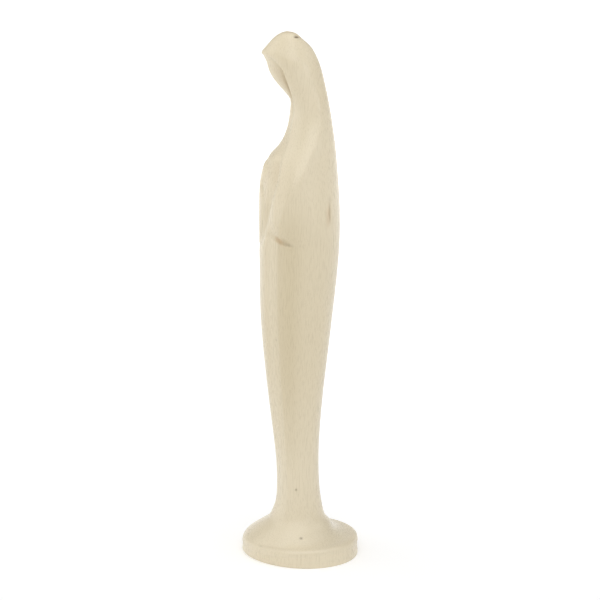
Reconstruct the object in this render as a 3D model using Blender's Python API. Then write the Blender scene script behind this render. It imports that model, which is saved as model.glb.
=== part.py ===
"""Slender madonna and child in pale wood, carved in one piece with its round foot.

The figure is a loft of level sections from the foot to the crown, with its carving laid on
as ridges, grooves and swellings that follow named paths round the form.
+Z is up, the figure faces -Y, and the origin is the middle of the foot's underside. Metres.
"""

import math

import bmesh
import bpy
import numpy as np

# Driving sizes
FIGURE_HEIGHT = 0.300
FOOT_DIAMETER = 0.0676
FOOT_RIM_HEIGHT = 0.0067
FOOT_RIM_RISE = 0.0009      # the hand-cut rim is this much thicker behind, and thinner in front
FOOT_EDGE_ROUNDING = 0.0006
FOOT_OVAL = 0.0014          # the sawn underside departs this much from a true circle
FOOT_OVAL_ANGLE = math.radians(139.0)   # where it is fullest, round from the front on both sides

# One carver's unit is a 300th of the figure, so its proportions read like millimetres
UNIT = FIGURE_HEIGHT / 300.0

# How the foot sweeps up into the ankle: share of the way up, and share of the way out before and behind
FLARE = (
    (0.035, 0.989, 0.989),
    (0.056, 0.979, 0.979),
    (0.078, 0.957, 0.945),
    (0.102, 0.922, 0.780),
    (0.153, 0.832, 0.478),
    (0.212, 0.668, 0.371),
    (0.292, 0.430, 0.300),
    (0.381, 0.215, 0.176),
    (0.501, 0.105, 0.112),
    (0.630, 0.030, 0.070),
    (0.791, 0.000, 0.030),
)

# Level, front, back and half width of the closed cloak, in carver's units
SECTIONS = (
    (44.0, -14.0, 10.4, 12.4),
    (64.0, -15.7, 10.0, 13.4),
    (88.0, -19.0, 11.2, 15.7),
    (116.0, -22.5, 13.8, 18.9),
    (144.0, -25.0, 16.5, 21.8),
    (172.0, -25.8, 18.8, 23.9),
    (194.0, -26.6, 19.3, 24.4),
    (212.0, -26.6, 18.4, 22.8),
    (226.0, -24.4, 17.2, 19.6),
    (231.0, -22.0, 16.7, 17.9),
    (236.0, -17.3, 16.1, 16.0),
    (246.0, -12.0, 14.6, 12.9),
    (255.0, -10.5, 13.0, 11.4),
    (263.0, -12.2, 11.4, 11.5),
    (270.0, -17.3, 9.8, 12.5),
    (278.0, -22.9, 7.8, 13.2),
    (284.6, -25.5, 5.4, 12.7),
    (287.6, -26.3, 3.9, 11.8),
    (291.4, -23.9, 1.5, 10.2),
    (296.0, -19.9, -3.6, 7.2),
    (298.9, -15.9, -7.3, 3.8),
)
CROWN = (300.0, -12.2)

# The cloak's front edge: level, and how far round from the front it lies, in degrees.
# It frames the face, narrows at the throat, opens again round the child, and closes under the sleeves.
OPENING = (
    (177.0, 0.0),
    (181.0, 20.0),
    (187.0, 33.0),
    (203.0, 49.0),
    (221.0, 58.0),
    (233.0, 50.0),
    (243.0, 38.0),
    (253.0, 36.0),
    (262.0, 42.0),
    (268.0, 51.0),
    (274.0, 59.0),
    (280.0, 62.0),
    (287.0, 62.0),
)

# The hood's brim over the face: how far round from the front, in degrees, and its level
BRIM = ((0.0, 287.2), (22.0, 286.8), (39.0, 285.4), (52.0, 282.9), (62.0, 279.0))

# The face is a plain egg on the ground inside the hood
FACE_LEVEL = 273.8
FACE_HALF_WIDTH = 11.2
FACE_HALF_HEIGHT = 13.2
FACE_RECESS = 1.0           # its middle, behind the cloak
FACE_ROUNDNESS = 3.0        # how much deeper its outline lies than its middle
FACE_SOFTNESS = 0.5         # how softly it meets the throat

# Carving strengths along that edge, by level: how far the cloak stands proud, and the groove inside it
EDGE_STEP = (
    (177.0, 0.0), (184.0, 0.1), (203.0, 0.15), (228.0, 0.35), (246.0, 0.4),
    (257.0, 0.8), (265.0, 2.7), (275.0, 2.8), (283.0, 1.7), (287.2, 1.0),
)
EDGE_GROOVE = (
    (177.0, 0.0), (184.0, 0.1), (203.0, 0.2), (230.0, 0.35), (246.0, 0.2),
    (256.0, 0.7), (264.0, 1.2), (275.0, 0.7), (283.0, 0.0),
)
EDGE_WIDTH = ((236.0, 3.4), (252.0, 1.0))       # wide and soft round the child, crisp at the hood
GROOVE_WIDTH = ((236.0, 2.8), (252.0, 1.5))
GROOVE_INSET = 0.9                              # in groove widths, inside the edge

# The child against the breast, in relief inside the cloak: its head, and its swaddled body below
CHILD_HEAD_LEVEL = 221.5
CHILD_HEAD_RADIUS = 8.3
CHILD_BODY = ((181.0, 5.0), (190.0, 8.6), (200.0, 11.2), (206.5, 11.2), (211.5, 8.6), (215.0, 5.4))
CHILD_PROUD = (
    (177.0, 0.0), (187.0, 0.35), (204.0, 0.8), (213.0, 1.2),
    (221.0, 1.5), (227.0, 1.2), (232.0, 0.3), (238.0, 0.0),
)

# The ridge where the cloak falls from the nape over the shoulder to the elbow, wider before than behind
SHOULDER_PATH = (
    (200.0, 87.0), (215.0, 91.5), (225.0, 97.5), (237.0, 103.5),
    (247.5, 110.5), (258.0, 119.0), (268.0, 128.0),
)
SHOULDER_HEIGHT = ((192.0, 0.0), (206.0, 1.0), (222.0, 2.5), (240.0, 2.7), (256.0, 1.5), (270.0, 0.0))
SHOULDER_WIDTH = 5.4
SHOULDER_BEFORE = 2.4
SHOULDER_ROUNDING = 0.16

# The upright arris at each side of the robe's front, with a shallow hollow along before it
ROBE_PATH = (
    (20.0, 59.5), (34.0, 63.0), (52.0, 65.0), (70.0, 66.0), (90.0, 66.0), (110.0, 65.5), (124.0, 65.0),
    (138.0, 64.0), (154.0, 62.5), (170.0, 62.5), (187.0, 63.5), (200.0, 69.0), (210.0, 76.0), (222.0, 84.0),
)
ROBE_HEIGHT = (
    (16.0, 0.0), (26.0, 0.9), (44.0, 1.2), (70.0, 1.3),
    (100.0, 1.4), (185.0, 1.2), (205.0, 0.8), (228.0, 0.0),
)
ROBE_WIDTH = 3.2
ROBE_BEFORE = 1.1
ROBE_ROUNDING = 0.14
ROBE_HOLLOW = 0.34
HOLLOW_PLACE = 2.4          # before the arris, in its widths

# The arm under the sleeve, and the crease under the sleeve's hem from the front to the elbow
SLEEVE_SWELL = 1.8
SLEEVE_LEVEL = 206.0
SLEEVE_HEM = (
    (0.0, 185.0), (30.0, 186.5), (53.0, 188.2), (60.0, 187.2), (68.0, 185.8), (78.0, 183.7), (95.0, 181.5),
)
HEM_DEPTH = ((0.0, 0.0), (26.0, 0.25), (44.0, 0.3), (56.0, 1.0), (74.0, 1.0), (86.0, 0.0))
HEM_WIDTH = 1.5

# How finely the form is faceted: distance between rows up to each level, in carver's units
CAD_SPACING = ((46.0, 3.4), (168.0, 12.0), (244.0, 2.9), (282.0, 2.2), (288.5, 1.1), (300.0, 2.2))
PANEL_COLUMNS = 5
EDGE_COLUMNS = (-1.5, -0.5, 0.5)
SIDE_COLUMNS = 9
BACK_COLUMNS = 6
NARROWEST_PANEL = math.radians(6.0)

WOOD_COLOUR = (0.69, 0.60, 0.44, 1.0)
WOOD_ROUGHNESS = 0.42


def spline(at, values):
    """A smooth curve through values at the rising places at, which bends evenly through every point."""
    x = np.asarray(at, float)
    y = np.asarray(values, float)
    gap = np.diff(x)
    n = len(x)
    system = np.eye(n)
    right = np.zeros((n,) + y.shape[1:])
    for i in range(1, n - 1):
        system[i, i - 1] = gap[i - 1]
        system[i, i] = 2.0 * (gap[i - 1] + gap[i])
        system[i, i + 1] = gap[i]
        right[i] = 6.0 * ((y[i + 1] - y[i]) / gap[i] - (y[i] - y[i - 1]) / gap[i - 1])
    bend = np.linalg.solve(system, right)

    def value(where):
        where = np.atleast_1d(np.asarray(where, float))
        i = np.clip(np.searchsorted(x, where) - 1, 0, n - 2)
        width = gap[i]
        up = (where - x[i]) / width
        down = 1.0 - up
        if y.ndim > 1:
            width, up, down = width[:, None], up[:, None], down[:, None]
        curve = (down**3 - down) * bend[i] + (up**3 - up) * bend[i + 1]
        return down * y[i] + up * y[i + 1] + curve * width**2 / 6.0

    return value


def ease(value):
    """0 below 0 and 1 above 1, with a smooth rise between."""
    t = np.clip(value, 0.0, 1.0)
    return t * t * (3.0 - 2.0 * t)


def read(table, place):
    """A value from a table of (place, value), smooth between its places and held beyond them."""
    places, values = zip(*table)
    inside = np.clip(place, places[0], places[-1])
    return spline(places, values)(inside.ravel()).reshape(np.shape(place))


def stations():
    """Height, front, back and half width of every section from the foot's arris to the crown, in metres."""
    radius = FOOT_DIAMETER / 2.0
    ankle = np.array(SECTIONS[0]) * UNIT
    rim = np.array([FOOT_RIM_HEIGHT, -radius, radius, radius])
    rows = [rim]
    for up, before, behind in FLARE:
        share = np.array([1.0 - up, before, behind, (before + behind) / 2.0])
        rows.append(ankle + (rim - ankle) * share)
    rows += [np.array(section) * UNIT for section in SECTIONS]
    top, middle = CROWN
    rows.append(np.array([top, middle, middle, 0.0]) * UNIT)
    return np.array(rows)


def row_places(drawn, spacing):
    """Where the rows of the mesh stand along the drawn sections, closer where the carving is finer."""
    step = np.linalg.norm(np.diff(drawn, axis=0), axis=1)
    along = np.concatenate([[0.0], np.cumsum(step)])
    places = []
    for i, length in enumerate(step):
        count = max(1, round(length / spacing(drawn[i:i + 2, 0].mean() / UNIT)))
        places.extend(np.linspace(along[i], along[i + 1], count, endpoint=False))
    return along, np.array(places)


def cad_spacing(level):
    """Distance between rows of the solid, in metres, at a level in carver's units."""
    return next(gap for top, gap in CAD_SPACING if level < top) * UNIT


def opening_angle(level):
    """How far round from the front the cloak's edge lies, in radians, negative below the opening."""
    below = np.maximum(OPENING[0][0] - level, 0.0)
    return np.radians(np.maximum(read(OPENING, level), 0.0) - 8.0 * below)


def columns(level, finer=1):
    """Angles of the mesh's columns on one side, which follow the cloak's edge and the shoulder."""
    edge = np.maximum(opening_angle(level), NARROWEST_PANEL)
    reach = np.radians(5.0) * np.minimum(1.0, edge / np.radians(20.0))
    shoulder = np.radians(read(SHOULDER_PATH, level))
    lines = [edge * 0.0, edge + reach * EDGE_COLUMNS[0]]
    lines += [edge + reach * place for place in EDGE_COLUMNS[1:]]
    lines += [shoulder, edge * 0.0 + math.pi]
    counts = [PANEL_COLUMNS] + [1] * (len(EDGE_COLUMNS) - 1) + [SIDE_COLUMNS, BACK_COLUMNS]
    angles = [lines[0]]
    for start, end, count in zip(lines, lines[1:], counts):
        steps = count * finer
        angles += [start + (end - start) * (i + 1) / steps for i in range(steps)]
    return np.stack(angles, axis=-1)


def body_radius(front, back, half, angle):
    """Distance from a section's middle to the plain cloak, an oval."""
    middle = (front + back) / 2.0
    deep = (back - front) / 2.0
    fullness = 2.0
    lengthwise = np.abs(np.cos(angle)) / deep
    across = np.abs(np.sin(angle)) / np.maximum(half, 1e-6)
    return middle, (lengthwise**fullness + across**fullness) ** (-1.0 / fullness)


def ridge(distance, width, before, rounding):
    """A rounded ridge: 1 along its path, falling away to nothing on both sides, wider before it."""
    distance = distance / width
    distance = np.where(distance < 0.0, distance / before, distance)
    away = np.sqrt(distance**2 + rounding**2) - rounding
    return np.exp(-1.6 * away)


def child(across, level):
    """The child's relief inside the cloak: 1 on its middle, 0 on the ground beside it."""
    head = 1.0 - (across**2 + (level - CHILD_HEAD_LEVEL) ** 2) / CHILD_HEAD_RADIUS**2
    width = read(CHILD_BODY, level)
    ends = (level - CHILD_BODY[0][0]) * (CHILD_BODY[-1][0] + 4.0 - level) / 60.0
    body = np.minimum(1.0 - (across / width) ** 2, ends)
    return ease(np.maximum(head, body) * 1.4 + 0.1)


def face(across, level):
    """Height of the egg of the face against the plain cloak, in carver's units."""
    out = (across / FACE_HALF_WIDTH) ** 2 + ((level - FACE_LEVEL) / FACE_HALF_HEIGHT) ** 2
    return -FACE_RECESS - FACE_ROUNDNESS * (1.0 - np.sqrt(np.maximum(1.0 - out, 0.0)))


def carving(angle, level, radius):
    """How far the carving stands out from the plain cloak, in carver's units."""
    arc = radius / UNIT
    degrees = np.degrees(angle)
    edge = opening_angle(level)
    slope_step = 0.5
    turn = opening_angle(level + slope_step) - opening_angle(level - slope_step)
    slant = turn * arc / (2.0 * slope_step)
    beside = (angle - edge) * arc / np.sqrt(1.0 + slant**2)
    above = level - read(BRIM, degrees)
    outside = np.maximum(beside, above)
    inside = 1.0 - ease(outside / read(EDGE_WIDTH, level) + 0.5)
    groove = read(EDGE_GROOVE, level) * ease((angle + edge) * arc / 2.0)
    ground = -read(EDGE_STEP, level)
    egg = face(angle * arc, level)
    ground = (ground + egg + np.sqrt((ground - egg) ** 2 + FACE_SOFTNESS**2)) / 2.0
    cut = ground * inside
    cut -= groove * np.exp(-((outside / read(GROOVE_WIDTH, level) + GROOVE_INSET) ** 2))
    cut -= read(CHILD_PROUD, level) * inside * (1.0 - child(angle * arc, level))

    shoulder = (angle - np.radians(read(SHOULDER_PATH, level))) * arc
    rise = ridge(shoulder, SHOULDER_WIDTH, SHOULDER_BEFORE, SHOULDER_ROUNDING)
    cut += read(SHOULDER_HEIGHT, level) * rise

    robe = (angle - np.radians(read(ROBE_PATH, level))) * arc
    hollow = ROBE_HOLLOW * np.exp(-((robe / ROBE_WIDTH + HOLLOW_PLACE) ** 2))
    rise = ridge(robe, ROBE_WIDTH, ROBE_BEFORE, ROBE_ROUNDING)
    cut += read(ROBE_HEIGHT, level) * (rise - hollow)

    hem = level - read(SLEEVE_HEM, degrees)
    cut -= read(HEM_DEPTH, degrees) * np.exp(-((hem / HEM_WIDTH) ** 2))
    lower = ease(hem / 9.0)
    upper = 1.0 - ease((level - SLEEVE_LEVEL) / 26.0)
    round_the_side = ease((degrees - 40.0) / 20.0) * (1.0 - ease((degrees - 72.0) / 50.0))
    cut += SLEEVE_SWELL * lower * upper * round_the_side
    return cut


def surface(drawn, along, places, finer=1):
    """Points of the figure's left half, rows by columns, in metres."""
    rows = spline(along, drawn)(places)
    height, front, back, half = rows.T[:, :, None]
    angle = columns(rows[:, 0] / UNIT, finer)
    middle, radius = body_radius(front, back, half, angle)
    level = np.broadcast_to(height / UNIT, angle.shape)
    radius = radius + carving(angle, level, radius) * UNIT * ease((level - 14.0) / 20.0)
    x = radius * np.sin(angle)
    y = middle - radius * np.cos(angle)
    tilt = FOOT_RIM_RISE / (FOOT_DIAMETER / 2.0) * (1.0 - ease(level / SECTIONS[0][0]))
    return np.stack([x, y, height + tilt * y], axis=-1)


def rim_rows(angles):
    """The foot's underside edge and upright rim, below its arris, on the same columns."""
    radius = FOOT_DIAMETER / 2.0
    rounding = FOOT_EDGE_ROUNDING
    halfway = FOOT_RIM_HEIGHT * 0.6
    profile = ((rounding, 0.0), (rounding * 0.3, rounding * 0.3), (0.0, rounding), (0.0, halfway))
    rows = []
    for inset, height in profile:
        down = 1.0 - height / FOOT_RIM_HEIGHT
        out = radius - inset + FOOT_OVAL * down * np.cos(2.0 * (np.abs(angles) - FOOT_OVAL_ANGLE))
        rise = FOOT_RIM_RISE * (1.0 - down) * -np.cos(angles)
        rows.append(np.stack([out * np.sin(angles), -out * np.cos(angles), height + rise], axis=-1))
    return rows


def closed_form(half):
    """The right half mirrored from the left one, as rings of points running all the way round."""
    other = half[:, -2:0:-1] * np.array([-1.0, 1.0, 1.0])
    return np.concatenate([half, other], axis=1)


def build_mesh(name, rings, top):
    """A closed mesh from rings of points, flat underneath and drawn to one point at the top."""
    mesh = bpy.data.meshes.new(name)
    work = bmesh.new()
    made = [[work.verts.new(point) for point in ring] for ring in rings]
    count = len(made[0])
    for low, high in zip(made, made[1:]):
        for i in range(count):
            j = (i + 1) % count
            work.faces.new((low[i], low[j], high[j], high[i]))
    crown = work.verts.new(top)
    for i in range(count):
        work.faces.new((made[-1][i], made[-1][(i + 1) % count], crown))
    work.faces.new(made[0][::-1])
    bmesh.ops.recalc_face_normals(work, faces=work.faces)
    work.to_mesh(mesh)
    work.free()
    mesh.shade_smooth()
    return mesh


def carve(name, spacing, finer=1):
    """The whole figure as one closed mesh."""
    drawn = stations()
    along, places = row_places(drawn, spacing)
    full = closed_form(surface(drawn, along, places, finer))
    turn = np.arctan2(full[0, :, 0], -full[0, :, 1])
    top, middle = CROWN
    return build_mesh(name, rim_rows(turn) + list(full), (0.0, middle * UNIT, top * UNIT))


def wood():
    """Pale, close-grained wood with a hand-rubbed satin finish."""
    material = bpy.data.materials.new("pale_wood")
    material.use_nodes = True
    shader = material.node_tree.nodes["Principled BSDF"]
    shader.inputs["Base Color"].default_value = WOOD_COLOUR
    shader.inputs["Roughness"].default_value = WOOD_ROUGHNESS
    shader.inputs["Metallic"].default_value = 0.0
    return material


def main():
    for old in list(bpy.data.objects):
        bpy.data.objects.remove(old)
    collection = bpy.data.collections.new("madonna_and_child")
    bpy.context.scene.collection.children.link(collection)
    mesh = carve("madonna_and_child", cad_spacing)
    mesh.materials.append(wood())
    figure = bpy.data.objects.new("madonna_and_child", mesh)
    collection.objects.link(figure)


main()
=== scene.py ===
"""A slender mother and child, carved in one piece with its round foot from pale limewood.

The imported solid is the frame, and the fine carving built here stands for it. It follows the same
drawn sections and the same carved lines, cut closely enough to show the crisp edges, the hand's
small unevenness and the marks in the wood.

Lengths are metres. Levels and carving depths are in carver's units, a 300th of the figure, and
angles run round the figure from its front (-Y) to its left side (+X).
"""

import logging
import math
from dataclasses import dataclass
from enum import Enum

import bmesh
import bpy
import numpy as np
from mathutils import Matrix, Vector


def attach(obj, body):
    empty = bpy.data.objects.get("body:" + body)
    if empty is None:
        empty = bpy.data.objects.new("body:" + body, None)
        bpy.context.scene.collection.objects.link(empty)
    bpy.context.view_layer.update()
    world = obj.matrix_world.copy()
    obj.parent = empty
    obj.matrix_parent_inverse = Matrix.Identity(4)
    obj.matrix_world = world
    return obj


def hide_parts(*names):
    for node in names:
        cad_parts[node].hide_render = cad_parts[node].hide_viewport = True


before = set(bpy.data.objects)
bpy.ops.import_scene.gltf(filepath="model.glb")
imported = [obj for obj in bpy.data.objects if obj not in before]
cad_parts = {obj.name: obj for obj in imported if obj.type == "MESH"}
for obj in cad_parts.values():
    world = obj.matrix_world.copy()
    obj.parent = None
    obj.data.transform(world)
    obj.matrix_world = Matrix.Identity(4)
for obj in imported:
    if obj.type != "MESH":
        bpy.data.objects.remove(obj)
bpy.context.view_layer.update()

Table = tuple[tuple[float, ...], ...]
MarkPlace = tuple[np.ndarray, np.ndarray, np.ndarray, np.ndarray]

NODE = "madonna_and_child"
BODY = "root"
FIGURE_HEIGHT = 0.300
UNIT = FIGURE_HEIGHT / 300.0
MILLIMETRE = 0.001

log = logging.getLogger("carving")


def linear(hex_colour: str) -> tuple[float, float, float, float]:
    """Turns an sRGB hex colour into linear values.

    Args:
        hex_colour: Six hex digits, red first.

    Returns:
        Linear red, green and blue, with an alpha of one.
    """
    values = [int(hex_colour[i : i + 2], 16) / 255.0 for i in (0, 2, 4)]
    red, green, blue = (v / 12.92 if v <= 0.04045 else ((v + 0.055) / 1.055) ** 2.4 for v in values)
    return red, green, blue, 1.0


def spline(at: Table, values: Table):
    """Draws a smooth curve through values at the rising places at.

    Args:
        at: Places along the curve.
        values: The value, or row of values, at each place.

    Returns:
        A function that reads the curve at any places.
    """
    x = np.asarray(at, float)
    y = np.asarray(values, float)
    gap = np.diff(x)
    n = len(x)
    system = np.eye(n)
    right = np.zeros((n,) + y.shape[1:])
    for i in range(1, n - 1):
        system[i, i - 1] = gap[i - 1]
        system[i, i] = 2.0 * (gap[i - 1] + gap[i])
        system[i, i + 1] = gap[i]
        right[i] = 6.0 * ((y[i + 1] - y[i]) / gap[i] - (y[i] - y[i - 1]) / gap[i - 1])
    bend = np.linalg.solve(system, right)

    def value(where: np.ndarray) -> np.ndarray:
        """Reads the curve."""
        where = np.atleast_1d(np.asarray(where, float))
        i = np.clip(np.searchsorted(x, where) - 1, 0, n - 2)
        width = gap[i]
        up = (where - x[i]) / width
        down = 1.0 - up
        if y.ndim > 1:
            width, up, down = width[:, None], up[:, None], down[:, None]
        curve = (down**3 - down) * bend[i] + (up**3 - up) * bend[i + 1]
        return down * y[i] + up * y[i + 1] + curve * width**2 / 6.0

    return value


def ease(value: np.ndarray) -> np.ndarray:
    """0 below 0 and 1 above 1, with a smooth rise between."""
    t = np.clip(value, 0.0, 1.0)
    return t * t * (3.0 - 2.0 * t)


def read(table: Table, place: np.ndarray) -> np.ndarray:
    """Reads a table of (place, value), running smoothly between its places and held beyond them."""
    places, values = zip(*table)
    inside = np.clip(place, places[0], places[-1])
    return spline(places, values)(inside.ravel()).reshape(np.shape(place))


@dataclass(frozen=True)
class Foot:
    """The round foot that the figure stands on, in metres.

    The curves are (inset, height), as shares of the edge's rounding and of the arris. The flare is
    (way up from the rim to the ankle, how much of the rim's spread is left in front, and behind).
    """

    diameter: float = 0.0676
    rim_height: float = 0.0067
    rim_rise: float = 0.0009
    edge_rounding: float = 0.0006
    oval: float = 0.0014
    oval_angle: float = math.radians(139.0)
    arris_relief: float = 0.00035
    arris_height: float = 0.0011
    edge_curve: Table = ((1.0, 0.0), (0.6, 0.08), (0.3, 0.3), (0.08, 0.6), (0.0, 1.0))
    arris_curve: Table = ((0.7, 0.35), (0.15, 0.7))
    rim_rings: int = 5
    flare: Table = (
        (0.0107, 0.992, 0.992),
        (0.035, 0.989, 0.989),
        (0.056, 0.979, 0.979),
        (0.078, 0.957, 0.945),
        (0.102, 0.922, 0.780),
        (0.153, 0.832, 0.478),
        (0.212, 0.668, 0.371),
        (0.292, 0.430, 0.300),
        (0.381, 0.215, 0.176),
        (0.501, 0.105, 0.112),
        (0.630, 0.030, 0.070),
        (0.791, 0.000, 0.030),
    )

    def rim(self, angles: np.ndarray) -> list[np.ndarray]:
        """Rings of the underside's edge and the upright rim.

        The rim was cut in under a fine arris, which catches the light as a thin line.

        Args:
            angles: Angles of the mesh's columns.

        Returns:
            Rings of points from the underside up to just below the arris.
        """
        radius = self.diameter / 2.0
        soft = self.edge_rounding
        under = self.rim_height - self.arris_height
        cut = self.arris_relief
        steps = range(1, self.rim_rings + 1)
        profile = [(soft * inset + cut, soft * height) for inset, height in self.edge_curve]
        profile += [(cut, soft + (under - soft) * step / self.rim_rings) for step in steps]
        profile += [(cut * inset, under + self.arris_height * height) for inset, height in self.arris_curve]
        rings = []
        for inset, height in profile:
            down = 1.0 - height / self.rim_height
            out = radius - inset + self.oval * down * np.cos(2.0 * (np.abs(angles) - self.oval_angle))
            rise = self.rim_rise * (1.0 - down) * -np.cos(angles)
            rings.append(np.stack([out * np.sin(angles), -out * np.cos(angles), height + rise], axis=-1))
        return rings


@dataclass(frozen=True)
class Egg:
    """The face: a plain calm egg on the ground inside the hood."""

    level: float = 273.8
    half_width: float = 11.2
    half_height: float = 13.2
    recess: float = 1.0
    roundness: float = 3.0

    def height(self, across: np.ndarray, level: np.ndarray) -> np.ndarray:
        """Height of the egg against the plain cloak, in carver's units."""
        out = (across / self.half_width) ** 2 + ((level - self.level) / self.half_height) ** 2
        return -self.recess - self.roundness * (1.0 - np.sqrt(np.maximum(1.0 - out, 0.0)))


@dataclass(frozen=True)
class Child:
    """The child against the breast: its head, and its swaddled body below, in low relief.

    The body is (level, half width) and closes a little above its last level. What is proud is the
    depth of the ground beside the child.
    """

    head_level: float = 221.5
    head_radius: float = 8.3
    body: Table = ((181.0, 5.0), (190.0, 8.6), (200.0, 11.2), (206.5, 11.2), (211.5, 8.6), (215.0, 5.4))
    body_close: float = 4.0
    body_end_rounding: float = 60.0
    fullness: float = 1.4
    spread: float = 0.1
    proud: Table = (
        (177.0, 0.0),
        (187.0, 0.35),
        (204.0, 0.8),
        (213.0, 1.2),
        (221.0, 1.5),
        (227.0, 1.2),
        (232.0, 0.3),
        (238.0, 0.0),
    )

    def relief(self, across: np.ndarray, level: np.ndarray) -> np.ndarray:
        """1 on the child's middle, 0 on the ground beside it, rounded at its outline."""
        head = 1.0 - (across**2 + (level - self.head_level) ** 2) / self.head_radius**2
        width = read(self.body, level)
        bottom, top = self.body[0][0], self.body[-1][0] + self.body_close
        ends = (level - bottom) * (top - level) / self.body_end_rounding
        body = np.minimum(1.0 - (across / width) ** 2, ends)
        return ease(np.maximum(head, body) * self.fullness + self.spread)


@dataclass(frozen=True)
class Arris:
    """A rounded ridge up the form: its path as (level, degrees), its height, and its width behind.

    It may be wider before than behind, and a shallow hollow may run along before it.
    """

    path: Table
    height: Table
    width: float
    rounding: float = 0.18
    before: float = 1.0
    hollow: float = 0.0
    hollow_place: float = 2.4
    fall: float = 1.6

    def lift(self, angle: np.ndarray, level: np.ndarray, arc: np.ndarray) -> np.ndarray:
        """How far it stands out, in carver's units, less the shallow hollow before it."""
        distance = (angle - np.radians(read(self.path, level))) * arc / self.width
        hollow = self.hollow * np.exp(-((distance + self.hollow_place) ** 2))
        distance = np.where(distance < 0.0, distance / self.before, distance)
        away = np.sqrt(distance**2 + self.rounding**2) - self.rounding
        return read(self.height, level) * (np.exp(-self.fall * away) - hollow)


@dataclass(frozen=True)
class Sleeve:
    """The arm's swelling under the cloak, and the crease below the sleeve's hem, by degrees round.

    The swelling rises above the hem and fades out above its level. It starts and ends round the form
    at (degrees, how many degrees that takes).
    """

    swell: float = 1.8
    level: float = 206.0
    rise: float = 9.0
    fade: float = 26.0
    start: tuple[float, float] = (40.0, 20.0)
    end: tuple[float, float] = (72.0, 50.0)
    hem: Table = (
        (0.0, 185.0),
        (30.0, 186.5),
        (53.0, 188.2),
        (60.0, 187.2),
        (68.0, 185.8),
        (78.0, 183.7),
        (95.0, 181.5),
    )
    depth: Table = ((0.0, 0.0), (26.0, 0.25), (44.0, 0.3), (56.0, 1.0), (74.0, 1.0), (86.0, 0.0))
    width: float = 1.5

    def carving(self, degrees: np.ndarray, level: np.ndarray) -> np.ndarray:
        """The swelling less the crease, in carver's units."""
        above = level - read(self.hem, degrees)
        crease = read(self.depth, degrees) * np.exp(-((above / self.width) ** 2))
        upright = ease(above / self.rise) * (1.0 - ease((level - self.level) / self.fade))
        started = ease((degrees - self.start[0]) / self.start[1])
        around = started * (1.0 - ease((degrees - self.end[0]) / self.end[1]))
        return self.swell * upright * around - crease


@dataclass(frozen=True)
class CloakEdge:
    """The cloak's front edge: where it runs, how proud it stands, and the groove inside it.

    The opening is (level, degrees) and the brim over it is (degrees, level). Below the opening the edge
    closes by so many degrees a level.
    """

    opening: Table = (
        (177.0, 0.0),
        (181.0, 20.0),
        (187.0, 33.0),
        (203.0, 49.0),
        (221.0, 58.0),
        (233.0, 50.0),
        (243.0, 38.0),
        (253.0, 36.0),
        (262.0, 42.0),
        (268.0, 51.0),
        (274.0, 59.0),
        (280.0, 62.0),
        (287.0, 62.0),
    )
    brim: Table = ((0.0, 287.2), (22.0, 286.8), (39.0, 285.4), (52.0, 282.9), (62.0, 279.0))
    step: Table = (
        (177.0, 0.0),
        (184.0, 0.1),
        (203.0, 0.15),
        (228.0, 0.35),
        (246.0, 0.4),
        (257.0, 0.8),
        (265.0, 2.7),
        (275.0, 2.8),
        (283.0, 1.7),
        (287.2, 1.0),
    )
    groove: Table = (
        (177.0, 0.0),
        (184.0, 0.1),
        (203.0, 0.2),
        (230.0, 0.35),
        (246.0, 0.2),
        (256.0, 0.7),
        (264.0, 1.2),
        (275.0, 0.7),
        (283.0, 0.0),
    )
    width: Table = ((236.0, 3.4), (252.0, 1.0))
    groove_width: Table = ((236.0, 2.8), (252.0, 1.5))
    groove_inset: float = 0.9
    groove_start: float = 2.0
    softness: float = 0.5
    closing: float = 8.0

    def angle(self, level: np.ndarray) -> np.ndarray:
        """How far round from the front the edge lies, in radians, negative below the opening."""
        below = self.closing * np.maximum(self.opening[0][0] - level, 0.0)
        return np.radians(np.maximum(read(self.opening, level), 0.0) - below)

    def outside(self, angle: np.ndarray, level: np.ndarray, arc: np.ndarray) -> np.ndarray:
        """Distance out from the edge over the cloak, in carver's units, negative inside it."""
        reach = 0.5
        slant = (self.angle(level + reach) - self.angle(level - reach)) * arc / (2.0 * reach)
        beside = (angle - self.angle(level)) * arc / np.sqrt(1.0 + slant**2)
        above = level - read(self.brim, np.degrees(angle))
        return np.maximum(beside, above)

    def carving(
        self, angle: np.ndarray, level: np.ndarray, arc: np.ndarray, face: Egg, child: Child
    ) -> np.ndarray:
        """The ground inside the edge with the face and the child on it.

        Args:
            angle: Angles from the front, in radians.
            level: Levels of the same points.
            arc: Their distance from the section's middle, in carver's units.
            face: The face on the ground inside the hood.
            child: The child on the ground below it.

        Returns:
            How far the carving lies in from the plain cloak, as negative carver's units.
        """
        outside = self.outside(angle, level, arc)
        inside = 1.0 - ease(outside / read(self.width, level) + 0.5)
        across = angle * arc
        ground = -read(self.step, level)
        egg = face.height(across, level)
        ground = (ground + egg + np.sqrt((ground - egg) ** 2 + self.softness**2)) / 2.0
        groove = read(self.groove, level) * ease((angle + self.angle(level)) * arc / self.groove_start)
        cut = ground * inside
        cut -= groove * np.exp(-((outside / read(self.groove_width, level) + self.groove_inset) ** 2))
        return cut - read(child.proud, level) * inside * (1.0 - child.relief(across, level))


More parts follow.
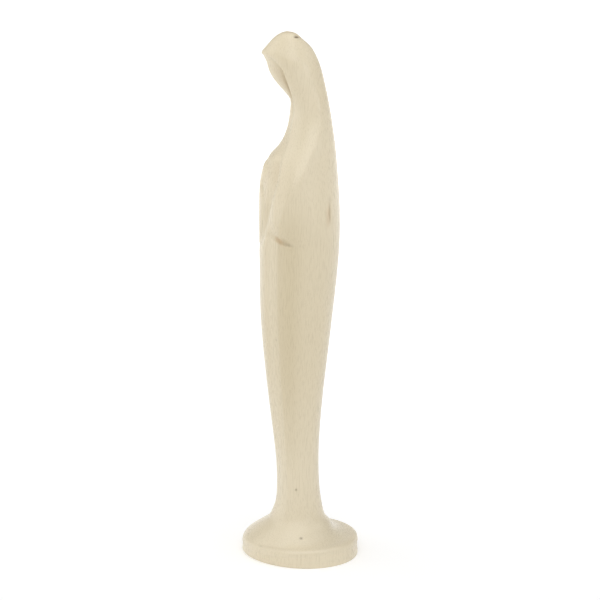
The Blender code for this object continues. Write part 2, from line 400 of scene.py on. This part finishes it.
@dataclass(frozen=True)
class HandWork:
    """The hand's unevenness: shallow flats left by scraper and abrasive, long up the figure.

    Each layer is its length up the figure, its width around and its depth, in units. The girth is the
    figure's usual distance round, which turns a width into an angle. The top is a level above the
    crown. It all starts a little above the floor, so that the figure stands flat.
    """

    seed: int = 11
    layers: Table = ((46.0, 15.0, 0.07), (19.0, 6.0, 0.028), (7.0, 2.6, 0.010))
    girth: float = 110.0
    top: float = 320.0
    floor_gap: float = 0.8
    floor_fade: float = 3.0

    def unevenness(self, turn: np.ndarray, level: np.ndarray) -> np.ndarray:
        """Smooth seeded unevenness over the whole figure.

        Args:
            turn: Angle all the way round, in radians from -pi to pi.
            level: Level of the same points.

        Returns:
            How far each point stands out, in carver's units.
        """
        chance = np.random.default_rng(self.seed)
        total = np.zeros(np.broadcast(turn, level).shape)
        for length, width, depth in self.layers:
            around = max(3, round(self.girth / width))
            up = int(self.top / length) + 3
            grid = chance.uniform(-1.0, 1.0, (up, around))
            row = np.clip(level / length, 0.0, up - 1.001)
            column = (turn / (2.0 * math.pi) + 0.5) * around
            low, left = np.floor(row).astype(int), np.floor(column).astype(int)
            rise, run = ease(row - low), ease(column - left)
            left, right = left % around, (left + 1) % around
            below = grid[low, left] * (1.0 - run) + grid[low, right] * run
            above = grid[low + 1, left] * (1.0 - run) + grid[low + 1, right] * run
            total = total + depth * (below * (1.0 - rise) + above * rise)
        return total * ease((level - self.floor_gap) / self.floor_fade)


class MarkKind(Enum):
    """What a mark in the wood is, with the sRGB colour that it gives the wood. The rub, check and pinhole
    colours also serve as painted shade in the crease under the sleeve's hem.
    """

    KNOT = "6e5a3e"
    CHECK_AND_CREASE_SHADE = "8a6a3c"
    PINHOLE_AND_CREASE_SHADE = "857355"
    RUB_AND_CREASE_SHADE = "b98f58"


@dataclass(frozen=True)
class Mark:
    """One mark in the wood, or a patch of painted shade: its level and degrees round, its sizes in units, and
    how strong it is.

    It leans by degrees from upright, and it fades out at its outline, in half sizes from its middle.
    """

    name: str
    kind: MarkKind
    level: float
    degrees: float
    half_length: float
    half_width: float
    depth: float
    strength: float
    lean: float = 0.0
    cuts: int = 2
    outline: float = 1.3

    def share(self, across: np.ndarray, up: np.ndarray) -> np.ndarray:
        """1 at the mark's middle and 0 beyond its outline.

        Args:
            across: Distance round the form from its middle, in units.
            up: Distance up the form from its middle, in units.

        Returns:
            The share of its full depth and colour at each point.
        """
        turn = math.radians(self.lean)
        along = up * math.cos(turn) + across * math.sin(turn)
        beside = across * math.cos(turn) - up * math.sin(turn)
        away = np.sqrt((along / self.half_length) ** 2 + (beside / self.half_width) ** 2)
        return ease(self.outline - away)


@dataclass
class CarvedFigure:
    """The mother and child with their foot, one closed carving.

    A section is (level, front, back, half width), and the crown is (level, middle). The spacing is (top
    level, gap between the mesh's rows), and a table of strength is (level, share of its colour).
    """

    foot: Foot = Foot()
    face: Egg = Egg()
    child: Child = Child()
    edge: CloakEdge = CloakEdge()
    sleeve: Sleeve = Sleeve()
    hand: HandWork = HandWork()
    sections: Table = (
        (44.0, -14.0, 10.4, 12.4),
        (64.0, -15.7, 10.0, 13.4),
        (88.0, -19.0, 11.2, 15.7),
        (116.0, -22.5, 13.8, 18.9),
        (144.0, -25.0, 16.5, 21.8),
        (172.0, -25.8, 18.8, 23.9),
        (194.0, -26.6, 19.3, 24.4),
        (212.0, -26.6, 18.4, 22.8),
        (226.0, -24.4, 17.2, 19.6),
        (231.0, -22.0, 16.7, 17.9),
        (236.0, -17.3, 16.1, 16.0),
        (246.0, -12.0, 14.6, 12.9),
        (255.0, -10.5, 13.0, 11.4),
        (263.0, -12.2, 11.4, 11.5),
        (270.0, -17.3, 9.8, 12.5),
        (278.0, -22.9, 7.8, 13.2),
        (284.6, -25.5, 5.4, 12.7),
        (287.6, -26.3, 3.9, 11.8),
        (291.4, -23.9, 1.5, 10.2),
        (296.0, -19.9, -3.6, 7.2),
        (298.9, -15.9, -7.3, 3.8),
    )
    crown: tuple[float, float] = (300.0, -12.2)
    shoulder: Arris = Arris(
        path=(
            (200.0, 87.0),
            (215.0, 91.5),
            (225.0, 97.5),
            (237.0, 103.5),
            (247.5, 110.5),
            (258.0, 119.0),
            (268.0, 128.0),
        ),
        height=((192.0, 0.0), (206.0, 1.0), (222.0, 2.5), (240.0, 2.7), (256.0, 1.5), (270.0, 0.0)),
        width=5.4,
        rounding=0.16,
        before=2.4,
    )
    robe: Arris = Arris(
        path=(
            (20.0, 59.5),
            (34.0, 63.0),
            (52.0, 65.0),
            (70.0, 66.0),
            (90.0, 66.0),
            (110.0, 65.5),
            (124.0, 65.0),
            (138.0, 64.0),
            (154.0, 62.5),
            (170.0, 62.5),
            (187.0, 63.5),
            (200.0, 69.0),
            (210.0, 76.0),
            (222.0, 84.0),
        ),
        height=(
            (16.0, 0.0),
            (26.0, 0.9),
            (44.0, 1.2),
            (70.0, 1.3),
            (100.0, 1.4),
            (185.0, 1.2),
            (205.0, 0.8),
            (228.0, 0.0),
        ),
        width=3.2,
        rounding=0.14,
        before=1.1,
        hollow=0.34,
    )
    marks: tuple[Mark, ...] = (
        Mark("crown_knot", MarkKind.KNOT, 297.1, 142.0, 0.9, 2.1, 0.9, 0.75),
        Mark("crown_pit", MarkKind.PINHOLE_AND_CREASE_SHADE, 299.3, 146.0, 0.5, 0.6, 0.2, 0.5),
        Mark("back_check", MarkKind.CHECK_AND_CREASE_SHADE, 201.2, 136.0, 5.6, 0.75, 0.3, 0.46, 1.5),
        Mark("back_check_end", MarkKind.CHECK_AND_CREASE_SHADE, 208.4, 137.0, 3.6, 0.9, 0.1, 0.12, 1.5, 1),
        Mark("back_check_rub", MarkKind.RUB_AND_CREASE_SHADE, 199.8, 133.4, 6.4, 2.2, 0.0, 0.22, 1.0, 0),
        # The three hem marks are warm-tinted painted shade in the crease under the sleeve's hem, not a rub, a
        # check or a pinhole.
        Mark("hem_crease_shade_start", MarkKind.RUB_AND_CREASE_SHADE, 186.1, 62.6, 3.4, 1.5, 0.1, 0.38, 122.0, 1),
        Mark("hem_crease_shade_middle", MarkKind.CHECK_AND_CREASE_SHADE, 185.0, 68.0, 3.8, 0.9, 0.15, 0.20, 114.0, 1),
        Mark("hem_crease_shade_end", MarkKind.PINHOLE_AND_CREASE_SHADE, 183.9, 75.0, 3.4, 1.0, 0.1, 0.18, 98.0, 1),
        Mark("foot_pinhole", MarkKind.PINHOLE_AND_CREASE_SHADE, 14.6, 101.3, 0.85, 0.85, 0.35, 0.75),
        Mark("ankle_pinhole", MarkKind.PINHOLE_AND_CREASE_SHADE, 40.1, 84.9, 0.8, 0.8, 0.3, 0.5),
        Mark("robe_pinhole", MarkKind.PINHOLE_AND_CREASE_SHADE, 128.8, 57.4, 0.7, 0.7, 0.2, 0.35),
        Mark("foot_speck", MarkKind.PINHOLE_AND_CREASE_SHADE, 9.6, 46.9, 0.5, 1.4, 0.05, 0.22),
        Mark("foot_fleck", MarkKind.PINHOLE_AND_CREASE_SHADE, 11.2, 15.2, 0.5, 1.0, 0.05, 0.16),
    )
    mark_reach: float = 6.0
    out_of_reach: float = 100.0
    refined_share: float = 0.8
    usual_radius: float = 20.0
    carving_start: float = 14.0
    carving_fade: float = 20.0
    spacing: Table = ((46.0, 0.75), (168.0, 0.95), (244.0, 0.72), (301.0, 0.6))
    # Painted shade in the deepest hollows: the groove inside the hood's edge, round the face.
    hollow_shade_colour: str = "a98c60"
    hollow_shade_strength: float = 0.42
    hollow_start: float = 1.2
    hollow_range: float = 3.2
    # Painted shade, darkest through the middle height and towards the figure's left side.
    middle_shade_colour: str = "c2b28c"
    middle_shade_strength: Table = (
        (46.0, 0.0),
        (60.0, 0.16),
        (84.0, 0.34),
        (110.0, 0.50),
        (160.0, 0.54),
        (190.0, 0.44),
        (203.0, 0.26),
        (216.0, 0.10),
        (256.0, 0.12),
        (300.0, 0.30),
    )
    # Painted shade on the recessed ground between the child and the cloak's edge.
    child_shade_strength: Table = (
        (176.0, 0.0),
        (182.0, 0.20),
        (190.0, 0.28),
        (207.0, 0.34),
        (216.0, 0.16),
        (224.0, 0.12),
        (234.0, 0.08),
        (242.0, 0.0),
    )
    child_shade_softness: float = 14.0
    middle_shade_angle: float = 78.0
    middle_shade_width: float = 17.0
    middle_shade_spread: float = 0.45
    panel_columns: int = 20
    edge_columns: int = 4
    side_columns: int = 38
    back_columns: int = 26

    def stations(self) -> np.ndarray:
        """Height, front, back and half width of every drawn section from the foot's arris up, in metres."""
        radius = self.foot.diameter / 2.0
        ankle = np.array(self.sections[0]) * UNIT
        arris = np.array([self.foot.rim_height, -radius, radius, radius])
        rows = [arris]
        for up, before, behind in self.foot.flare:
            share = np.array([1.0 - up, before, behind, (before + behind) / 2.0])
            rows.append(ankle + (arris - ankle) * share)
        rows += [np.array(section) * UNIT for section in self.sections]
        top, middle = self.crown
        rows.append(np.array([top, middle, middle, 0.0]) * UNIT)
        return np.array(rows)

    def row_places(self, drawn: np.ndarray) -> tuple[np.ndarray, np.ndarray]:
        """Where the drawn sections and the mesh's rows stand along the form, in metres."""
        step = np.linalg.norm(np.diff(drawn, axis=0), axis=1)
        along = np.concatenate([[0.0], np.cumsum(step)])
        places: list[float] = []
        for i, length in enumerate(step):
            level = drawn[i : i + 2, 0].mean() / UNIT
            gap = next(gap for top, gap in self.spacing if level < top) * UNIT
            places.extend(np.linspace(along[i], along[i + 1], max(1, round(length / gap)), endpoint=False))
        return along, np.array(places)

    def columns(self, level: np.ndarray) -> np.ndarray:
        """Angles of the mesh's columns on the left half, which follow the cloak's edge and the shoulder."""
        narrowest, reach_at = math.radians(6.0), math.radians(20.0)
        edge = np.maximum(self.edge.angle(level), narrowest)
        reach = math.radians(5.0) * np.minimum(1.0, edge / reach_at)
        shoulder = np.radians(read(self.shoulder.path, level))
        front = edge * 0.0
        lines = [front, edge - 1.5 * reach, edge - 0.5 * reach, edge + 0.5 * reach, shoulder, front + math.pi]
        counts = [self.panel_columns, self.edge_columns, self.edge_columns]
        counts += [self.side_columns, self.back_columns]
        angles = [front]
        for start, end, count in zip(lines, lines[1:], counts):
            angles += [start + (end - start) * (i + 1) / count for i in range(count)]
        return np.stack(angles, axis=-1)

    def carved_rows(self) -> tuple[np.ndarray, np.ndarray, np.ndarray]:
        """The left half of the carving, rows by columns.

        Returns:
            Points in metres, their angles from the front, and how far they are cut in, in units.
        """
        drawn = self.stations()
        along, places = self.row_places(drawn)
        rows = spline(along, drawn)(places)
        height, front, back, half = rows.T[:, :, None]
        angle = self.columns(rows[:, 0] / UNIT)
        middle, deep = (front + back) / 2.0, (back - front) / 2.0
        across = np.abs(np.sin(angle)) / np.maximum(half, 1e-6)
        radius = 1.0 / np.sqrt((np.cos(angle) / deep) ** 2 + across**2)
        level = np.broadcast_to(height / UNIT, angle.shape)
        arc = radius / UNIT
        cut = self.edge.carving(angle, level, arc, self.face, self.child)
        hollow = -cut
        cut += self.shoulder.lift(angle, level, arc)
        cut += self.robe.lift(angle, level, arc)
        cut += self.sleeve.carving(np.degrees(angle), level)
        radius = radius + cut * UNIT * ease((level - self.carving_start) / self.carving_fade)
        x = radius * np.sin(angle)
        y = middle - radius * np.cos(angle)
        tilt = self.foot.rim_rise / (self.foot.diameter / 2.0) * (1.0 - ease(level / self.sections[0][0]))
        return np.stack([x, y, height + tilt * y], axis=-1), angle, hollow

    def loft(self) -> tuple[bmesh.types.BMesh, np.ndarray, np.ndarray]:
        """The whole carving as one closed mesh, before its marks.

        Returns:
            The open edit mesh, with the layer "hollow"; its points; and their angles round the form.
        """
        half, angle, hollow = self.carved_rows()
        full = np.concatenate([half, half[:, -2:0:-1] * np.array([-1.0, 1.0, 1.0])], axis=1)
        turn = np.concatenate([angle, -angle[:, -2:0:-1]], axis=1)
        hollow = np.concatenate([hollow, hollow[:, -2:0:-1]], axis=1)
        rim = self.foot.rim(turn[0])
        rings = rim + list(full)
        count = full.shape[1]
        top, middle = self.crown
        points = np.vstack([np.concatenate(rings), [(0.0, middle * UNIT, top * UNIT)]])
        turns = np.concatenate([np.tile(turn[0], len(rim)), turn.ravel(), [0.0]])
        hollows = np.concatenate([np.zeros(len(rim) * count), hollow.ravel(), [0.0]])
        faces = [
            (low + i, low + (i + 1) % count, low + count + (i + 1) % count, low + count + i)
            for low in range(0, (len(rings) - 1) * count, count)
            for i in range(count)
        ]
        last = (len(rings) - 1) * count
        faces += [(last + i, last + (i + 1) % count, len(points) - 1) for i in range(count)]
        faces.append(tuple(range(count))[::-1])
        mesh = bpy.data.meshes.new("loft")
        mesh.from_pydata(points.tolist(), [], faces)
        work = bmesh.new()
        work.from_mesh(mesh)
        bpy.data.meshes.remove(mesh)
        layer = work.verts.layers.float.new("hollow")
        for vert, value in zip(work.verts, hollows):
            vert[layer] = value
        log.info("loft: %d rings of %d points", len(rings), count)
        return work, points, turns

    def mesh(self) -> bpy.types.Mesh:
        """The finished carving: the loft with its marks cut in, its unevenness, and its marks' colours and
        painted shade.

        Returns:
            A closed mesh with a colour attribute that holds the marks' colours and the painted shade, with
            their strength in alpha.
        """
        work, points, turns = self.loft()
        work.normal_update()
        work.verts.ensure_lookup_table()
        frames = [self.mark_frame(mark, work, points, turns) for mark in self.marks]
        for mark, place in zip(self.marks, frames):
            self.refine(work, mark, place)
        work.normal_update()
        where = np.array([vert.co for vert in work.verts])
        normal = np.array([vert.normal for vert in work.verts])
        layer = work.verts.layers.float["hollow"]
        hollow = np.array([vert[layer] for vert in work.verts])
        level = where[:, 2] / UNIT
        middle = self.middle(level)
        turn = np.arctan2(where[:, 0], middle - where[:, 1])
        out = self.hand.unevenness(turn, level)
        arc = np.hypot(where[:, 0], middle - where[:, 1]) / UNIT
        # Painted shade first, then the marks' colours over it, in one colour array.
        marks_and_painted_shade = self.painted_shade(hollow, turn, level, arc)
        # Mark colours, among them the hem marks' painted shade, are mixed over the painted shade.
        for mark, place in zip(self.marks, frames):
            across, up = self.local(where, place)
            share = mark.share(across, up) * (np.einsum("ij,j->i", normal, place[1]) > 0.0)
            out = out - mark.depth * share
            strength = (mark.strength * share)[:, None]
            colour = np.array(linear(mark.kind.value)[:3])
            total = 1.0 - (1.0 - marks_and_painted_shade[:, 3:]) * (1.0 - strength)
            kept = marks_and_painted_shade[:, 3:] * (1.0 - strength) / np.maximum(total, 1e-6)
            marks_and_painted_shade[:, :3] = marks_and_painted_shade[:, :3] * kept + colour * (1.0 - kept)
            marks_and_painted_shade[:, 3:] = total
            log.info("%s: %d points", mark.name, int((share > 0.0).sum()))
        for vert, point in zip(work.verts, where + normal * out[:, None] * UNIT):
            vert.co = point
        mesh = bpy.data.meshes.new("carved_mother_and_child")
        work.to_mesh(mesh)
        work.free()
        mesh.attributes.remove(mesh.attributes["hollow"])
        paint = mesh.attributes.new("marks_and_painted_shade", "FLOAT_COLOR", "POINT")
        paint.data.foreach_set("color", marks_and_painted_shade.astype(np.float32).ravel())
        mesh.shade_smooth()
        return mesh

    def middle(self, level: np.ndarray) -> np.ndarray:
        """The y of the form's middle at a level, in metres."""
        rows = [(self.foot.rim_height / UNIT, 0.0)]
        rows += [(row[0], (row[1] + row[2]) / 2.0) for row in self.sections] + [self.crown]
        levels, middles = zip(*rows)
        return np.interp(level, levels, middles) * UNIT

    def shade_round_child(self, turn: np.ndarray, level: np.ndarray, arc: np.ndarray) -> np.ndarray:
        """How strongly painted shade darkens the ground between the child and the cloak's edge."""
        beside = np.degrees(np.abs(turn) - self.edge.angle(level))
        inside = 1.0 - ease(beside / self.child_shade_softness + 0.5)
        bare = 1.0 - self.child.relief(np.abs(turn) * arc, level)
        return np.maximum(read(self.child_shade_strength, level), 0.0) * inside * bare

    def painted_shade(
        self, hollow: np.ndarray, turn: np.ndarray, level: np.ndarray, arc: np.ndarray
    ) -> np.ndarray:
        """Painted shade: darker in the deep hollows, through the middle height towards the left side, and on
        the ground round the child.
        """
        marks_and_painted_shade = np.zeros((len(hollow), 4))
        # Painted shade, stronger the deeper the carving is cut in.
        deep = self.hollow_shade_strength * ease((hollow - self.hollow_start) / self.hollow_range)
        away = (np.degrees(np.abs(turn)) - self.middle_shade_angle) / self.middle_shade_width
        side = self.middle_shade_spread + (1.0 - self.middle_shade_spread) * np.exp(-(away**2))
        middle_shade = np.maximum(read(self.middle_shade_strength, level), 0.0) * side
        middle_shade = middle_shade + self.shade_round_child(turn, level, arc)
        whole = np.maximum(deep + middle_shade, 1e-6)[:, None]
        deep_colour, middle_shade_colour = (np.array(linear(c)[:3]) for c in (self.hollow_shade_colour, self.middle_shade_colour))
        marks_and_painted_shade[:, :3] = (deep_colour * deep[:, None] + middle_shade_colour * middle_shade[:, None]) / whole
        marks_and_painted_shade[:, 3] = deep + middle_shade
        return marks_and_painted_shade

    def mark_frame(
        self, mark: Mark, work: bmesh.types.BMesh, points: np.ndarray, turns: np.ndarray
    ) -> MarkPlace:
        """A mark's middle on the form, the way out of the form there, and the ways up and across."""
        beside = (turns - math.radians(mark.degrees)) * self.usual_radius
        above = points[:, 2] / UNIT - mark.level
        vert = work.verts[int(np.argmin(beside**2 + above**2))]
        out = np.array(vert.normal)
        up = np.array([0.0, 0.0, 1.0]) - out * out[2]
        up /= np.linalg.norm(up)
        return np.array(vert.co), out, up, np.cross(up, out)

    def local(self, where: np.ndarray, place: MarkPlace) -> tuple[np.ndarray, np.ndarray]:
        """Distances round and up the form from a mark's middle, in carver's units."""
        middle, out, up, across = place
        away = (where - middle) / UNIT
        far = np.abs(away @ out) > self.mark_reach
        return away @ across + far * self.out_of_reach, away @ up

    def refine(self, work: bmesh.types.BMesh, mark: Mark, place: MarkPlace) -> None:
        """Cuts the mesh finer round a mark, so that the mark has a crisp outline."""
        if not mark.cuts:
            return
        where = np.array([vert.co for vert in work.verts])
        across, up = self.local(where, place)
        near = mark.share(across * self.refined_share, up * self.refined_share) > 0.0
        near &= np.array([vert.normal.dot(Vector(place[1])) > 0.0 for vert in work.verts])
        work.verts.index_update()
        edges = [edge for edge in work.edges if near[edge.verts[0].index] and near[edge.verts[1].index]]
        if edges:
            bmesh.ops.subdivide_edges(work, edges=edges, cuts=mark.cuts, use_grid_fill=True)


def add(
    tree: bpy.types.NodeTree, kind: str, settings: dict | None = None, inputs: dict | None = None
) -> bpy.types.Node:
    """Adds a node with its settings, its socket values and its links.

    Args:
        tree: The material's node tree.
        kind: The node's type.
        settings: Values of the node's own properties.
        inputs: By socket, a value, or another node's output to link.

    Returns:
        The new node.
    """
    node = tree.nodes.new(kind)
    for name, value in (settings or {}).items():
        setattr(node, name, value)
    for socket, value in (inputs or {}).items():
        if isinstance(value, bpy.types.NodeSocket):
            tree.links.new(value, node.inputs[socket])
        else:
            node.inputs[socket].default_value = value
    return node


@dataclass(frozen=True)
class PaleLimewood:
    """Limewood, carved by hand, scraped and rubbed with oil to a satin finish.

    To the eye it is pale cream and nearly plain: very faint growth rings, fine short fibres up the
    figure, and a soft broad sheen with no hard highlight.
    """

    wood: str = "e3d8be"
    late_wood: str = "dbcdb0"
    ring_spacing: float = 2.4 * MILLIMETRE
    ring_stretch: tuple[float, float, float] = (1.0, 1.0, 0.12)
    ring_wander: float = 2.2
    ring_wander_scale: float = 0.35
    pith: tuple[float, float, float] = (0.046, 0.085, 0.0)
    fibre_width: float = 0.45 * MILLIMETRE
    fibre_length: float = 9.0 * MILLIMETRE
    cloud_size: float = 38.0 * MILLIMETRE
    least_tone: float = 0.05
    ring_share: float = 0.05
    fibre_share: float = 0.14
    cloud_share: float = 0.6
    roughness: float = 0.28
    roughness_spread: float = 0.05
    fibre_bump: float = 0.02 * MILLIMETRE
    ior: float = 1.56

    def build(self) -> bpy.types.Material:
        """Makes the material."""
        material = bpy.data.materials.new("pale_limewood")
        material.use_nodes = True
        tree = material.node_tree
        tree.nodes.clear()
        place = add(tree, "ShaderNodeTexCoord").outputs["Object"]
        from_pith = add(
            tree,
            "ShaderNodeMapping",
            {"vector_type": "POINT"},
            {"Vector": place, "Location": tuple(-v for v in self.pith), "Scale": self.ring_stretch},
        ).outputs["Vector"]
        rings = add(
            tree,
            "ShaderNodeTexWave",
            {"wave_type": "RINGS", "rings_direction": "Z", "wave_profile": "SIN"},
            {
                "Vector": from_pith,
                "Scale": math.pi / (10.0 * self.ring_spacing),
                "Distortion": self.ring_wander,
                "Detail": 2.0,
                "Detail Scale": self.ring_wander_scale,
            },
        ).outputs["Fac"]
        fibre_place = add(
            tree,
            "ShaderNodeMapping",
            {},
            {
                "Vector": place,
                "Scale": (1.0 / self.fibre_width, 1.0 / self.fibre_width, 1.0 / self.fibre_length),
            },
        ).outputs["Vector"]
        fibres = add(
            tree, "ShaderNodeTexNoise", {}, {"Vector": fibre_place, "Scale": 1.0, "Detail": 3.0}
        ).outputs["Fac"]
        clouds = add(
            tree, "ShaderNodeTexNoise", {}, {"Vector": place, "Scale": 1.0 / self.cloud_size, "Detail": 2.0}
        ).outputs["Fac"]
        grain = self.least_tone
        patterns = ((rings, self.ring_share), (fibres, self.fibre_share), (clouds, self.cloud_share))
        for pattern, share in patterns:
            grain = add(
                tree,
                "ShaderNodeMath",
                {"operation": "MULTIPLY_ADD", "use_clamp": True},
                {0: pattern, 1: share, 2: grain},
            ).outputs["Value"]
        colour = add(
            tree,
            "ShaderNodeMix",
            {"data_type": "RGBA"},
            {0: grain, 6: linear(self.wood), 7: linear(self.late_wood)},
        ).outputs[2]
        # The colour attribute holds the marks' colours and the painted shade.
        marks_and_painted_shade = add(tree, "ShaderNodeAttribute", {"attribute_name": "marks_and_painted_shade"})
        colour = add(
            tree,
            "ShaderNodeMix",
            {"data_type": "RGBA"},
            {0: marks_and_painted_shade.outputs["Alpha"], 6: colour, 7: marks_and_painted_shade.outputs["Color"]},
        ).outputs[2]
        rough = add(
            tree,
            "ShaderNodeMath",
            {"operation": "MULTIPLY_ADD"},
            {0: fibres, 1: self.roughness_spread * 2.0, 2: self.roughness - self.roughness_spread},
        ).outputs["Value"]
        bump = add(
            tree, "ShaderNodeBump", {}, {"Height": fibres, "Strength": 1.0, "Distance": self.fibre_bump}
        ).outputs["Normal"]
        shader = add(
            tree,
            "ShaderNodeBsdfPrincipled",
            {},
            {"Base Color": colour, "Roughness": rough, "Normal": bump, "IOR": self.ior},
        )
        add(tree, "ShaderNodeOutputMaterial", {}, {"Surface": shader.outputs["BSDF"]})
        return material


@dataclass(frozen=True)
class PaperSweep:
    """White seamless paper under and behind the figure, lit from behind so that it holds no tone there.

    The glow grows away from a dim place before the figure, from nothing at near to full strength at far.
    """

    size: float = 60.0
    paper: str = "f4f4f4"
    roughness: float = 0.9
    glow: float = 1.0
    dim_place: tuple[float, float, float] = (1.5, 0.0, 0.0)
    near: float = 0.9
    far: float = 3.8

    def build(self) -> bpy.types.Object:
        """Lays the paper and marks it as stage."""
        mesh = bpy.data.meshes.new("paper_sweep")
        reach = self.size / 2.0
        corners = [(-reach, -reach, 0.0), (reach, -reach, 0.0), (reach, reach, 0.0), (-reach, reach, 0.0)]
        mesh.from_pydata(corners, [], [(0, 1, 2, 3)])
        material = bpy.data.materials.new("white_paper")
        material.use_nodes = True
        tree = material.node_tree
        place = add(tree, "ShaderNodeTexCoord").outputs["Object"]
        distance = add(
            tree, "ShaderNodeVectorMath", {"operation": "DISTANCE"}, {0: place, 1: self.dim_place}
        ).outputs["Value"]
        glow = add(
            tree,
            "ShaderNodeMapRange",
            {},
            {
                "Value": distance,
                "From Min": self.near,
                "From Max": self.far,
                "To Min": 0.0,
                "To Max": self.glow,
            },
        ).outputs["Result"]
        shader = tree.nodes["Principled BSDF"]
        shader.inputs["Base Color"].default_value = linear(self.paper)
        shader.inputs["Roughness"].default_value = self.roughness
        shader.inputs["Emission Strength"].default_value = 1.0
        tree.links.new(glow, shader.inputs["Emission Color"])
        mesh.materials.append(material)
        floor = bpy.data.objects.new("paper_sweep", mesh)
        bpy.context.scene.collection.objects.link(floor)
        return floor


@dataclass(frozen=True)
class TentPanel:
    """One white panel of the light tent: the way to it in degrees, its sizes in metres, and its glow.

    The watts are for a square metre at a glow of one.
    """

    name: str
    azimuth: float
    elevation: float
    width: float
    height: float
    glow: float
    watts: float = 4.0

    def build(self, middle: tuple[float, float, float], distance: float) -> bpy.types.Object:
        """Hangs the panel as an area light that looks at the tent's middle and is not seen itself."""
        light = bpy.data.lights.new(self.name, "AREA")
        light.shape = "RECTANGLE"
        light.size, light.size_y = self.width, self.height
        light.energy = self.watts * self.width * self.height * self.glow
        azimuth, elevation = math.radians(self.azimuth), math.radians(self.elevation)
        level = distance * math.cos(elevation)
        place = Vector((level * math.cos(azimuth), level * math.sin(azimuth), distance * math.sin(elevation)))
        lamp = bpy.data.objects.new(self.name, light)
        lamp.location = place
        lamp.rotation_euler = (Vector(middle) - place).to_track_quat("-Z", "Y").to_euler()
        lamp.visible_camera = False
        bpy.context.scene.collection.objects.link(lamp)
        return lamp


@dataclass(frozen=True)
class LightTent:
    """White panels round and above the figure, brightest above and high at the camera's side.

    Azimuths run from the camera (+X) towards the figure's back (+Y). The white wall far off ends upwards
    between the wall top's two heights, and the fainter surround is above it.
    """

    middle: tuple[float, float, float] = (0.0, 0.0, 0.15)
    distance: float = 2.5
    surround: float = 0.25
    wall_top: tuple[float, float] = (0.02, 0.12)
    panels: tuple[TentPanel, ...] = (
        TentPanel("low_back_panel", 180.0, 15.0, 3.5, 1.3, 0.40),
        TentPanel("low_left_panel", -90.0, 15.0, 3.5, 1.3, 0.55),
        TentPanel("low_front_panel", 0.0, 15.0, 3.5, 1.3, 0.10),
        TentPanel("high_right_panel", 90.0, 47.0, 2.4, 1.5, 0.48),
        TentPanel("high_left_panel", -90.0, 47.0, 2.4, 1.5, 0.65),
        TentPanel("high_front_panel", 0.0, 47.0, 2.4, 1.5, 1.27),
        TentPanel("roof_panel", 0.0, 89.0, 1.9, 1.9, 1.30),
        TentPanel("shoulder_strip", 50.0, 22.0, 0.5, 0.7, 2.9),
    )

    def build(self) -> None:
        """Hangs the panels, and sets the white wall far off and the fainter white above it."""
        for panel in self.panels:
            panel.build(self.middle, self.distance)
        world = bpy.data.worlds.new("white_surround")
        world.use_nodes = True
        tree = world.node_tree
        way = add(tree, "ShaderNodeTexCoord").outputs["Generated"]
        up = add(tree, "ShaderNodeSeparateXYZ", {}, {"Vector": way}).outputs["Z"]
        white = add(
            tree,
            "ShaderNodeMapRange",
            {"interpolation_type": "SMOOTHSTEP"},
            {
                "Value": up,
                "From Min": self.wall_top[0],
                "From Max": self.wall_top[1],
                "To Min": 1.0,
                "To Max": self.surround,
            },
        ).outputs["Result"]
        tree.links.new(white, tree.nodes["Background"].inputs["Color"])
        bpy.context.scene.world = world
        bpy.context.scene.view_settings.view_transform = "Standard"


@dataclass(frozen=True)
class ProductCamera:
    """The camera at the photograph's viewing angle."""

    distance: float = 1.0
    target: tuple[float, float, float] = (0.0, -0.00244, 0.14873)
    elevation: float = math.radians(11.4)
    roll: float = math.radians(1.0)
    focal_pixels: float = 1758.6
    image_side: int = 600
    sensor: float = 36.0
    clip_start: float = 0.01

    def build(self) -> bpy.types.Object:
        """Places the camera at the figure's left side."""
        data = bpy.data.cameras.new("product_camera")
        data.sensor_width = self.sensor
        data.lens = self.focal_pixels * self.sensor / self.image_side
        data.clip_start = self.clip_start
        camera = bpy.data.objects.new("product_camera", data)
        bpy.context.scene.collection.objects.link(camera)
        away = Vector((math.cos(self.elevation), 0.0, math.sin(self.elevation)))
        place = Vector(self.target) + away * self.distance
        turn = (-away).to_track_quat("-Z", "Y").to_matrix().to_4x4()
        camera.matrix_world = Matrix.Translation(place) @ turn @ Matrix.Rotation(self.roll, 4, "Z")
        bpy.context.scene.camera = camera
        return camera


def main() -> None:
    """Builds the camera, the studio and the carving, and ties the carving to its node."""
    logging.basicConfig(level=logging.INFO, format="%(message)s")
    ProductCamera().build()
    LightTent().build()
    PaperSweep().build()
    mesh = CarvedFigure().mesh()
    mesh.materials.append(PaleLimewood().build())
    figure = bpy.data.objects.new("carved_mother_and_child", mesh)
    bpy.context.scene.collection.objects.link(figure)
    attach(figure, BODY)
    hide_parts(NODE)
    log.info("%s: %d faces", figure.name, len(mesh.polygons))


if __name__ == "__main__":
    main()
